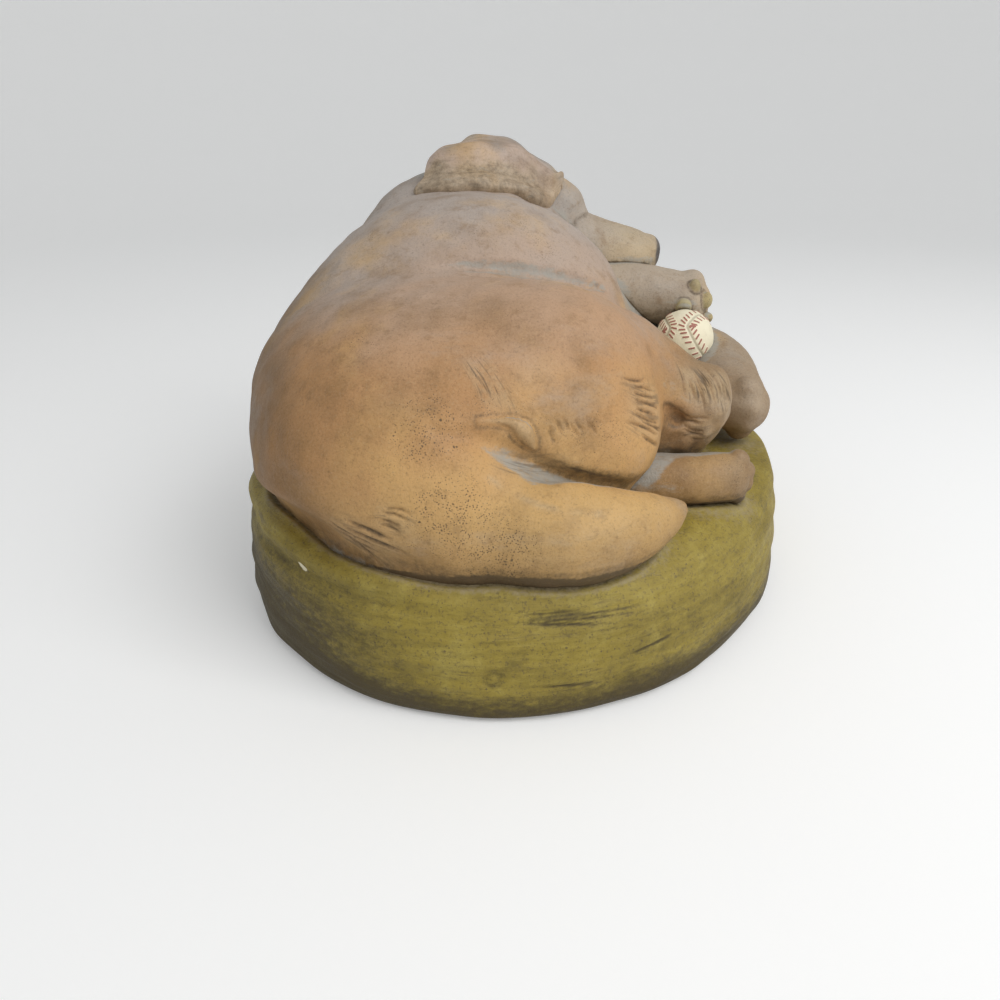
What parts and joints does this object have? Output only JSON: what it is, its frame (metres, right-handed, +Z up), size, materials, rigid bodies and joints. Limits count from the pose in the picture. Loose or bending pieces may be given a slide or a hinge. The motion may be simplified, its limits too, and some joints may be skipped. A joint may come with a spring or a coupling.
{
  "type": "sleeping dog figurine",
  "caption": "Curled sleeping dog with a small stitched ball between its paws, cast and hand painted, on a thick oval mound with a felt underside.",
  "frame": {"origin": "middle of the underside, on the surface that the figurine stands on", "axes": "+Z up, +X the way the nose points, +Y from the rump to the head"},
  "size_m": [0.1922, 0.22, 0.1428],
  "materials": {
    "coat_paint": "antiqued ochre paint over cast gypsum, satin",
    "mound_paint": "streaked olive paint over cast gypsum, satin",
    "ball_paint": "cream paint with reddish stitches, satin",
    "felt": "matt wool felt"
  },
  "bodies": {
    "root": {"felt_pad": "felt", "mound": "mound_paint", "body": "coat_paint", "head": "coat_paint", "right_ear": "coat_paint", "left_ear": "coat_paint", "tail": "coat_paint", "right_hind_foot": "coat_paint", "left_hind_foot": "coat_paint", "right_foreleg": "coat_paint", "left_foreleg": "coat_paint", "ball": "ball_paint"}
  },
  "joints": []
}
